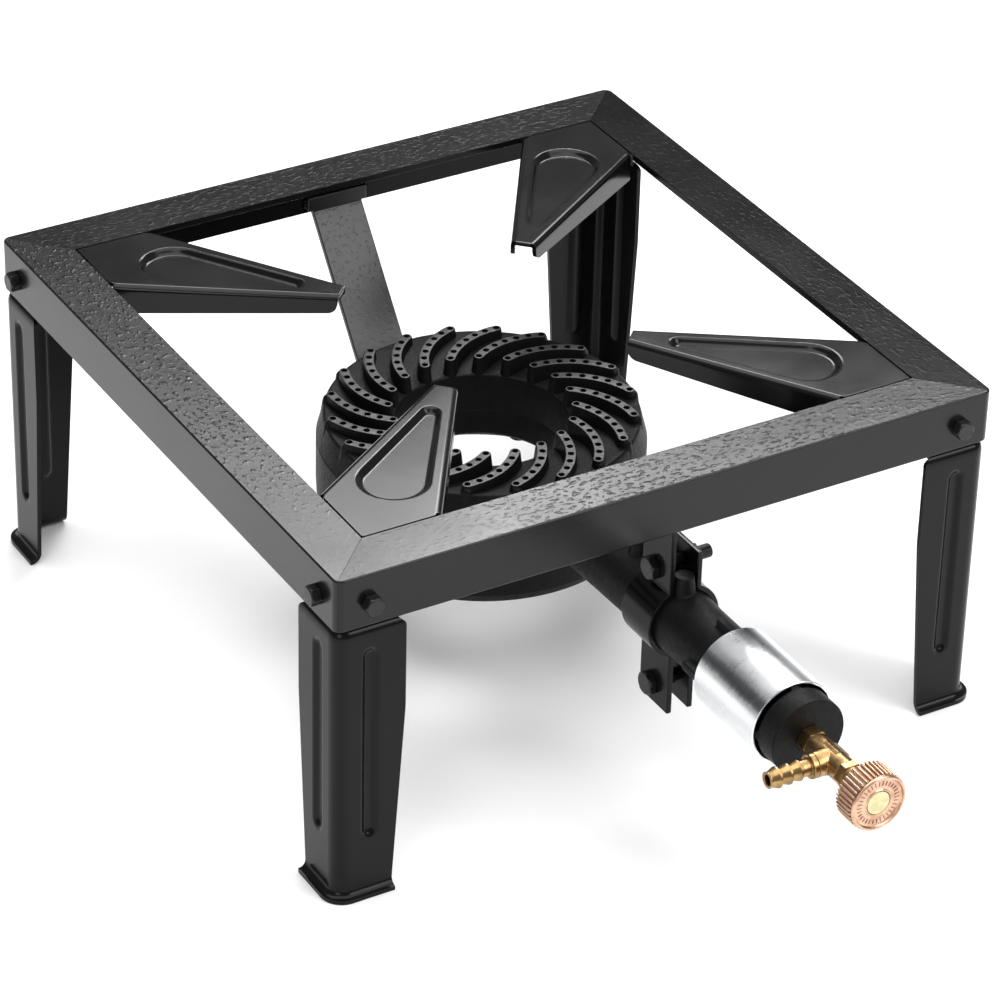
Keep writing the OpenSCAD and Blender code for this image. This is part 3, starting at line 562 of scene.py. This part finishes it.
# The four rails share one enamel; their shine differs by side as painted shade, so the right and back rails
# look darker than the front and left
RAIL_ENAMEL = {
    "front": enamel_finish("rail_enamel_front", 0.17 * MM, (0.6, 1, 1), shine=0.3, roughness=0.23),
    "right": enamel_finish("rail_enamel_right", 0.08 * MM, (1, 0.5, 1), shine=0.06, roughness=0.24),
    "back": enamel_finish("rail_enamel_back", 0.12 * MM, (0.5, 1, 1), shine=0.13, roughness=0.26),
    "left": enamel_finish("rail_enamel_left", 0.18 * MM, (1, 0.6, 1), shine=0.36, roughness=0.23),
}
LEG_ENAMEL = enamel_finish("leg_enamel", shine=0.16)
SUPPORT_ENAMEL = enamel_finish("support_enamel", shine=0.24, roughness=0.15)
STRAP_ENAMEL = enamel_finish("strap_enamel", 0.06 * MM, shine=0.44, facing=(0.3, 0.5), roughness=0.3)
BOLT_BLACK = satin_finish("bolt_black")
CAST_IRON = cast_iron_finish("cast_iron")
ZINC = zinc_finish("bright_zinc")
BRASS = turned_finish("turned_brass", (0.4, 0.26, 0.115, 1), (0.19, 0.115, 0.05, 1), 0.24)
COPPER = turned_finish("copper_knob", (0.66, 0.44, 0.315, 1), (0.45, 0.27, 0.18, 1), 0.24)
CAP_BRASS = turned_finish("cap_brass", (0.66, 0.6, 0.36, 1), (0.55, 0.49, 0.28, 1), 0.34)
TICK_COPPER = turned_finish("tick_copper", (0.4, 0.22, 0.14, 1), (0.24, 0.13, 0.08, 1), 0.35)
PACKING = packing_finish("packing_rope")


# Stand
def on_mitre(edge):
    """True on the edges where two rails meet."""
    reach = [Vector(v.co) - STAND_MID for v in edge.verts]
    return all(abs(abs(p.x) - abs(p.y)) < 0.05 * MM for p in reach)


for side in SIDES:
    softened("rail_" + side, RAIL_ENAMEL[side], [
        (0.9 * MM, 3, lambda edge: not on_mitre(edge)),
        (0.1 * MM, 1, on_mitre),
    ])


def sheet_solid(name, rows, thickness, edge, segments):
    """A formed sheet from rows of points on its outer face, thickened inwards with its rims rounded."""
    shape = bmesh.new()
    grid = [[shape.verts.new(Vector(point) * MM) for point in row] for row in rows]
    for first, second in zip(grid, grid[1:]):
        # Where a row first gains flanges, only its middle joins the row before
        spare = (len(second) - len(first)) // 2
        second = second[spare:len(second) - spare]
        for i in range(len(first) - 1):
            shape.faces.new((first[i], second[i], second[i + 1], first[i + 1]))
    mesh = bpy.data.meshes.new(name + "_sheet")
    shape.to_mesh(mesh)
    shape.free()
    sheet = bpy.data.objects.new(name + "_sheet", mesh)
    bpy.context.scene.collection.objects.link(sheet)
    thick = sheet.modifiers.new("thick", "SOLIDIFY")
    thick.thickness = thickness * MM
    thick.offset = -1
    thick.use_even_offset = True
    rounded = sheet.modifiers.new("rounded", "BEVEL")
    rounded.width = edge * MM
    rounded.segments = segments
    rounded.limit_method = "ANGLE"
    rounded.angle_limit = RIM_EDGE
    graph = bpy.context.evaluated_depsgraph_get()
    solid = bpy.data.meshes.new_from_object(sheet.evaluated_get(graph), depsgraph=graph)
    bpy.data.objects.remove(sheet)
    solid.name = name + "_finished"
    return solid


def soft_step(value, start, stop):
    """A share from 0 to 1 that rises smoothly between two bounds."""
    share = min(1.0, max(0.0, (value - start) / (stop - start)))
    return share * share * (3 - 2 * share)


def at_corner(turn):
    """Turns a shape drawn round the stand's middle to one of the four corners."""
    return Matrix.Translation(STAND_MID) @ Matrix.Rotation(math.radians(90 * turn), 4, "Z")


def leg_groove(along, height):
    """Depth of the pressed groove at a spot on a leg's face."""
    centre, half, depth, bottom, top = 16.0, 4.0, 2.0, 29.0, RAIL_LOW / MM - 11
    near = min(max(height, bottom + half), top - half)
    return depth * (1 - soft_step(math.hypot(along - centre, height - near), 1.2, half + 0.3))


def leg_rows():
    """Rows of points on the outer face of a leg, from the foot's lip up to the tongue behind the rails."""
    foot, full, taper, inner, wall = 26.5, 32.5, 90.0, 22.0, 3.0
    bend, bend_steps, lip, lip_top, fillet = 6.5, 8, 3.5, 2.0, 3.2
    reach, tongue = STAND_HALF / MM, 20.0
    rail = RAIL_LOW / MM
    levels = [(lip, lip_top), (lip - 0.3, lip_top)]
    arc = [math.pi / 2 * i / 6 for i in range(7)]
    for swing in arc:
        levels.append((fillet * (1 - math.sin(swing)), lip_top + fillet * (1 - math.cos(swing))))
    height = levels[-1][1]
    while height < rail - 6.5:
        height += 1.2 if height < 40 or height > rail - 22 else 3.0
        levels.append((0.0, height))
    top = levels[-1][1]
    for swing in arc[1:]:
        levels.append((-wall * (1 - math.cos(swing)), top + (rail - 0.8 - top) * math.sin(swing)))
    behind = -wall - 0.03
    levels += [(behind, rail), (behind, rail + tongue)]
    rows = []
    for out, height in levels:
        width = foot + (full - foot) * min(1.0, height / taper)
        width = width - wall * soft_step(height, rail - 4, rail - 0.5)
        flats = [bend + (inner - bend) * i / 28 for i in range(29)] + [
            inner + (width - inner) * i / 5 for i in range(1, 6)]
        side = [(along - reach, leg_groove(along, height) - out - reach, height) for along in flats]
        row = list(reversed(side))
        for i in range(1, bend_steps):
            swing = math.pi / 2 * i / bend_steps
            row.append((
                bend - (bend + out) * math.sin(swing) - reach,
                bend - (bend + out) * math.cos(swing) - reach,
                height))
        row += [(y, x, z) for x, y, z in side]
        rows.append(row)
    return rows


def leg(corner, turn):
    """One leg: sheet folded at the corner, with a groove in each face and a lip turned out at the foot."""
    name = "leg_" + corner
    solid = sheet_solid(name, leg_rows(), thickness=2.0, edge=0.8, segments=3)
    solid.transform(at_corner(turn))
    stands_for(shaded(put_in_scene(name + "_finished", solid, LEG_ENAMEL)), name)


def drop_edge(along, across, wide, narrow, reach):
    """Distance from the edge of a drop shape, below zero inside it; its wide end stands at the origin."""
    lean = (wide - narrow) / reach
    upright = math.sqrt(1 - lean * lean)
    across = abs(across)
    part = along * upright - across * lean
    if part < 0:
        return math.hypot(along, across) - wide
    if part > upright * reach:
        return math.hypot(along - reach, across) - narrow
    return across * upright + along * lean - wide


def support_rows(base, tip_x, tip, flange_base, flange_tip):
    """Rows of points across one support, from the stand's corner to the tip, in millimetres."""
    bend, drop, slope_in, slope_out, seam = 2.6, 2.4, 1.9, 1.1, 1.1
    panel_x, panel_wide, panel_narrow, panel_run = 47.0, 14.8, 4.0, 55.4
    flat_steps, bend_steps, flange_steps, row_gap, tip_round = 40, 6, 4, 0.7, 4.5
    rows = []
    count = int(tip_x / row_gap)
    start = seam * 1.2
    for i in range(count + 1):
        along = start + (tip_x - start) * i / count
        share = max(0.0, (along - base) / (tip_x - base))
        half = base + (tip / 2 - base) * share
        flat = min(along - seam, half - bend)
        side = [(flat * j / flat_steps, 0.0) for j in range(flat_steps + 1)]
        if along >= base:
            turns = [math.pi / 2 * j / bend_steps for j in range(1, bend_steps + 1)]
            side += [(flat + bend * math.sin(a), -bend * (1 - math.cos(a))) for a in turns]
            past = max(0.0, along - (tip_x - tip_round))
            depth = flange_base + (flange_tip - flange_base) * share
            depth -= tip_round - math.sqrt(tip_round ** 2 - past ** 2)
            side += [(half, -bend - (depth - bend) * j / flange_steps) for j in range(1, flange_steps + 1)]
        row = [(along, -across, lift) for across, lift in reversed(side[1:])]
        row += [(along, across, lift) for across, lift in side]
        row = [(x, y, z - drop * (1 - soft_step(
            drop_edge(x - panel_x, y, panel_wide, panel_narrow, panel_run), -slope_in, slope_out)))
            for x, y, z in row]
        rows.append(row)
    return rows


def pot_support(corner, turn):
    """One support: sheet folded down along both sides, with a drop-shaped panel pressed into its top."""
    opening, edge_run, tip_to_middle = 135.0, 37.5, 66
    rows = support_rows(
        base=edge_run / math.sqrt(2), tip_x=opening * math.sqrt(2) - tip_to_middle, tip=12.0,
        flange_base=14.0, flange_tip=8.5)
    name = "pot_support_" + corner
    solid = sheet_solid(name, rows, thickness=2.0, edge=0.35, segments=2)
    solid.transform(
        at_corner(turn) @ Matrix.Translation((-opening * MM, -opening * MM, STAND_TOP))
        @ Matrix.Rotation(math.radians(45), 4, "Z"))
    stands_for(shaded(put_in_scene(name + "_finished", solid, SUPPORT_ENAMEL)), name)


for turn, corner in enumerate(CORNERS):
    leg(corner, turn)
    pot_support(corner, turn)
for node in ("leg_bolts", "strap_bolt", "clamp_bolts"):
    softened(node, BOLT_BLACK, [(0.33 * MM, 3, every)])
for node in ("leg_nuts", "strap_nut", "clamp_nuts"):
    softened(node, BOLT_BLACK, [(0.25 * MM, 2, every)])

FRONT = (0, -1, 0)
LEFT = (-1, 0, 0)
RIGHT = (1, 0, 0)
UP = (0, 0, 1)
RING_OF_COPIES = ring_tree()
BEADS = bead_tree()
ROW_OF_COPIES = stack_tree()


def in_mm(outline):
    return [(radius * MM, along * MM) for radius, along in outline]


def copied_shape(name, outline, steps):
    """A small turned shape that a tree copies; it is thrown away afterwards."""
    shape = bpy.data.objects.new(name, turned_mesh(name, in_mm(outline), steps))
    bpy.context.scene.collection.objects.link(shape)
    return shape


# Burner
RIDGE_COUNT = 20
RIDGE_FROM = 42.5
RIDGE_TO = 68.5
RIDGE_PHASE = math.radians(8.3)


def ridge_shape():
    """One curved ridge with its ports and the buttress at its outer end; its top lies at height 0."""
    first = Vector((RIDGE_FROM, 0))
    sweep = math.radians(25.5)
    last = RIDGE_TO * Vector((math.cos(sweep), -math.sin(sweep)))
    curve, half, port, ports, base = 38.5, 2.4, 1.35, 7, -9.5
    chord = last - first
    side = Vector((-chord.y, chord.x)).normalized()
    middle = (first + last) / 2 - side * math.sqrt(curve * curve - chord.length_squared / 4)
    start = math.atan2(last.y - middle.y, last.x - middle.x)
    stop = math.atan2(first.y - middle.y, first.x - middle.x)

    def spot(angle, radius, centre):
        return centre + radius * Vector((math.cos(angle), math.sin(angle)))

    def outline(grow):
        run, round_end = 24, 10
        reach = half + grow
        steps = [start + (stop - start) * i / run for i in range(run + 1)]
        points = [spot(a, curve + reach, middle) for a in steps]
        points += [spot(stop + math.pi * i / round_end, reach, first) for i in range(1, round_end)]
        points += [spot(a, curve - reach, middle) for a in reversed(steps)]
        points += [
            spot(start + math.pi + math.pi * i / round_end, reach, last) for i in range(1, round_end)]
        return points

    shape = bmesh.new()

    def ring(points, height):
        return [shape.verts.new(((p.x - first.x) * MM, p.y * MM, height * MM)) for p in points]

    def circle(radius, centre, steps):
        return [spot(2 * math.pi * k / steps, radius, centre) for k in range(steps)]

    def walls(rings):
        """Skins a stack of rings, closes its foot and gives back the edges round its top."""
        for upper, lower in zip(rings, rings[1:]):
            for i in range(len(upper)):
                j = (i + 1) % len(upper)
                shape.faces.new((upper[i], upper[j], lower[j], lower[i]))
        shape.faces.new(rings[-1])
        top = rings[0]
        return [shape.edges.get((top[i], top[(i + 1) % len(top)])) for i in range(len(top))]

    edges = walls([ring(outline(grow), height) for grow, height in (
        (-0.5, 0), (-0.2, -0.1), (0, -0.45), (0.35, -3.0), (1.1, base))])
    for i in range(ports):
        centre = spot(start + (stop - start) * i / (ports - 1), curve, middle)
        edges += walls([
            ring(circle(radius, centre, 14), height)
            for radius, height in ((port + 0.2, 0), (port, -0.25), (port, base + 1))])
    bmesh.ops.triangle_fill(shape, edges=edges, use_beauty=True)
    foot = last.normalized() * 70.0
    buttress = [
        ring(circle(radius, foot, 20), height) for radius, height in (
            (0.9, -1.1), (1.8, -1.5), (2.4, -2.6), (2.9, -6.0), (3.6, -10.0), (4.2, -14.5))]
    walls(buttress)
    shape.faces.new(buttress[0])
    bmesh.ops.recalc_face_normals(shape, faces=shape.faces)
    mesh = bpy.data.meshes.new("ridge_shape")
    shape.to_mesh(mesh)
    shape.free()
    ridge = bpy.data.objects.new("ridge_shape", mesh)
    bpy.context.scene.collection.objects.link(ridge)
    return ridge


def burner_head():
    """The ring's cover: a turned casting with twenty ridges of ports on its sloped top."""
    outline = [
        (38.0, -26), (39.2, -9.2), (39.6, -8.4), (40.3, -8.0), (70.3, -3.6), (71.1, -3.6), (71.8, -4.1),
        (72.2, -5.0), (75.0, -15.5), (74.7, -16), (70.0, -16), (69.0, -14), (41.9, -14), (43.0, -26)]
    top = Vector((RING_MID.x, RING_MID.y, RIDGE_TOP))
    stands_for(turned("burner_head_finished", in_mm(outline), top, UP, CAST_IRON, 160), "burner_head")
    ridge = ridge_shape()
    turn = along_axis(top, UP) @ Matrix.Rotation(RIDGE_PHASE, 4, "Z")
    ridges = RING_OF_COPIES.grow("burner_ridges", CAST_IRON, {
        "Count": RIDGE_COUNT, "Radius": RIDGE_FROM * MM, "Copy": ridge}, turn)
    bpy.data.objects.remove(ridge)
    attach(ridges, BODY_OF["burner_head"])


burner_head()
softened("burner_body", CAST_IRON, [(0.6 * MM, 2, every)])
softened("ring_screws", ZINC, [(0.25 * MM, 2, every)])
softened("burner_strap", STRAP_ENAMEL, [(0.6 * MM, 2, every)])
softened("clamp_fixed_half", LEG_ENAMEL, [(0.5 * MM, 2, every)])
softened("clamp_loose_half", LEG_ENAMEL, [(0.5 * MM, 2, every)])


def sleeve():
    """The air sleeve: a plain tube with its edges broken."""
    size = high("air_sleeve") - low("air_sleeve")
    outer, wall, edge = size.z / 2, 1.2 * MM, 0.35 * MM
    bore = outer - wall
    outline = [
        (bore, edge), (bore + edge, 0), (outer - edge, 0), (outer, edge),
        (outer, size.y - edge), (outer - edge, size.y), (bore + edge, size.y), (bore, size.y - edge)]
    place = Vector((VALVE_X, high("air_sleeve").y, VALVE_Z))
    stands_for(turned("air_sleeve_finished", outline, place, FRONT, ZINC, 144), "air_sleeve")


sleeve()

# Valve
for node in ("gas_jet", "jet_lock_nut", "valve_body", "gland_nut", "valve_spindle"):
    softened(node, BRASS, [(0.25 * MM, 2, every)])
softened("gland_packing", PACKING, [(0.2 * MM, 2, every)])


def hose_tail():
    """The barbed tail: a collar and ridges that fall away towards the tip."""
    bore, core, collar, ridge, edge = 2.3, 3.7, 5.5, 4.6, 0.3
    collar_from, collar_to, neck = 5.0, 7.5, 3.4
    first, pitch, land, ridges = 12.25, 5.0, 1.2, 3
    outline = [
        (bore, 0), (core, 0), (core, collar_from), (collar - edge, collar_from),
        (collar, collar_from + edge), (collar, collar_to - edge), (collar - edge, collar_to),
        (core + edge, collar_to), (core, collar_to + edge)]
    for i in range(ridges):
        start = first + pitch * i
        outline += [
            (core, start), (ridge - edge, start), (ridge, start + edge), (ridge, start + land - edge),
            (ridge - edge / 3, start + land), (neck, start + pitch - 1.0), (neck, start + pitch - 0.3)]
    tip = first + pitch * ridges
    outline += [(core, tip), (bore + edge, tip), (bore, tip - edge)]
    box_low, box_high = low("hose_tail"), high("hose_tail")
    place = Vector((box_high.x, (box_low.y + box_high.y) / 2, VALVE_Z))
    piece = turned("hose_tail_finished", in_mm(outline), place, LEFT, BRASS, 64)
    stands_for(piece, "hose_tail")


hose_tail()


# Knob
KNOB_BACK = Vector((VALVE_X, high("control_knob").y, VALVE_Z))
KNOB_R = (high("control_knob").x - low("control_knob").x) / 2 / MM
KNOB_LENGTH = (high("control_knob").y - low("control_knob").y) / MM


def knob():
    """The fluted knob: a turned core, a ring of ribs and a ring of ticks in its face."""
    bore, hub, rib, groove, rib_start, rib_count = 3.05, 7.4, 0.62, 1.0, 2.7, 40
    tick_ring, tick_count, tick_size = 9.0, 32, (2.0 * MM, 0.45 * MM, 0.5 * MM, 1)
    core = KNOB_R - groove
    sunk = KNOB_LENGTH - 1.2
    seat = sunk - 1.5
    cap, disc, thick = 5.55, 5.5, 2.0
    outline = [
        (bore, 0), (hub - 0.3, 0), (hub, 0.3), (hub, 2), (core - 1.4, 2), (core - 0.4, 2.4), (core, 3.2),
        (core, KNOB_LENGTH - 2.0), (KNOB_R - 0.6, KNOB_LENGTH - 1.5), (KNOB_R - 0.5, KNOB_LENGTH - 1.1),
        (KNOB_R - 0.6, KNOB_LENGTH - 0.7), (KNOB_R - 0.8, KNOB_LENGTH - 0.35),
        (KNOB_R - 1.1, KNOB_LENGTH - 0.1), (KNOB_R - 1.5, KNOB_LENGTH), (KNOB_R - 1.9, KNOB_LENGTH - 0.15),
        (KNOB_R - 2.2, sunk + 0.2), (KNOB_R - 2.5, sunk), (cap + 0.9, sunk), (cap + 0.6, sunk + 0.3),
        (cap + 0.2, sunk + 0.3), (cap, sunk), (cap, seat), (bore, seat)]
    body = turned("knob_finished", in_mm(outline), KNOB_BACK, FRONT, COPPER, 120)
    stands_for(body, "control_knob")
    reach = KNOB_LENGTH - 4.3
    rod = copied_shape("rib_shape", [
        (0, 0), (rib * 0.6, 0.2), (rib, 1.0), (rib, reach - 1.0), (rib * 0.6, reach - 0.2), (0, reach)], 10)
    behind = KNOB_BACK + Vector((0, -rib_start * MM, 0))
    ribs = RING_OF_COPIES.grow("knob_ribs", COPPER, {
        "Count": rib_count, "Radius": (KNOB_R - rib) * MM, "Copy": rod}, along_axis(behind, FRONT))
    bpy.data.objects.remove(rod)
    bar = bpy.data.objects.new("tick_shape", bpy.data.meshes.new("tick_shape"))
    shape = bmesh.new()
    bmesh.ops.create_cube(shape, size=1, matrix=Matrix.Diagonal(tick_size))
    bmesh.ops.bevel(shape, geom=shape.edges[:], offset=0.1 * MM, segments=1, affect="EDGES")
    shape.to_mesh(bar.data)
    shape.free()
    bpy.context.scene.collection.objects.link(bar)
    face = KNOB_BACK + Vector((0, -sunk * MM, 0))
    ticks = RING_OF_COPIES.grow("knob_ticks", TICK_COPPER, {
        "Count": tick_count, "Radius": tick_ring * MM, "Copy": bar}, along_axis(face, FRONT))
    bpy.data.objects.remove(bar)
    for piece in (ribs, ticks):
        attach(piece, BODY_OF["control_knob"])
    cap_outline = [
        (0, 0), (disc, 0), (disc, thick - 0.5), (disc - 0.2, thick - 0.15), (disc - 0.6, thick), (0, thick)]
    place = KNOB_BACK + Vector((0, -seat * MM, 0))
    stands_for(turned("knob_cap_finished", in_mm(cap_outline), place, FRONT, CAP_BRASS, 72), "knob_cap")


knob()


# Threads and welds
def thread(name, radius, pitch, start, axis, length, material, node):
    """Thread ridges on the bare end of a bolt."""
    crest, root = 0.16, radius - 0.3
    ring = copied_shape(name + "_shape", [
        (root, 0), (root, pitch * 0.8), (radius, pitch * 0.75),
        (radius + crest, pitch * 0.4), (radius, pitch * 0.05)], 20)
    count = max(1, int(length / pitch))
    piece = ROW_OF_COPIES.grow(name, material, {
        "Count": count, "Step": (0, 0, pitch * MM), "Copy": ring}, along_axis(start, axis))
    bpy.data.objects.remove(ring)
    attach(piece, BODY_OF[node])


def weld(name, points, bead, seed):
    """Weld beads along a line, painted with the stand."""
    line = bpy.data.meshes.new(name + "_path")
    line.from_pydata(points, [(i, i + 1) for i in range(len(points) - 1)], [])
    path = bpy.data.objects.new(name + "_path", line)
    bpy.context.scene.collection.objects.link(path)
    piece = BEADS.grow(name, LEG_ENAMEL, {
        "Path": path, "Pitch": bead * 0.9 * MM, "Bead": bead * MM, "Seed": seed})
    bpy.data.objects.remove(path)
    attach(piece, BODY_OF["rail_front"])


def clamp_threads():
    """Threads past the nuts of the clamp's upper and lower bolt."""
    # Name, height from the tube's axis and gap between the tabs
    bolts = [
        ("upper", 22.5, 11.0),
        ("lower", -37.0, 8.0)]
    sheet, nut, spare, bolt_r, pitch = 2.5, 4.8, 7.2, 3.0, 1.0
    bolt_y = (low("clamp_nuts").y + high("clamp_nuts").y) / 2
    for label, height, gap in bolts:
        start = Vector((VALVE_X + (gap / 2 + sheet + nut) * MM, bolt_y, VALVE_Z + height * MM))
        thread("clamp_thread_" + label, bolt_r, pitch, start, RIGHT, spare, BOLT_BLACK, "clamp_bolts")


clamp_threads()


def stand_welds():
    """Beads at the strap's tab on the back rail and at the clamp's tab on the front rail."""
    bead, margin, strap_tab, clamp_tab = 1.3, 2.0 * MM, 7.0 * MM, 11.0 * MM
    tab_out, tab_sheet = 8.0 * MM, 2.5 * MM
    back = high("burner_strap").y - bead / 2 * MM
    top = high("burner_strap").z - margin
    for seed, x in enumerate((low("burner_strap").x, high("burner_strap").x)):
        weld("strap_weld_%d" % seed, [(x, back, top), (x, back, top - strap_tab + 2 * margin)], bead, seed)
    front = low("clamp_fixed_half").y + bead / 2 * MM
    top = high("clamp_fixed_half").z - margin
    outer = VALVE_X - tab_out
    for seed, x in enumerate((outer, outer + tab_sheet)):
        weld("clamp_weld_%d" % seed, [(x, front, top), (x, front, top - clamp_tab)], bead, seed + 2)


stand_welds()
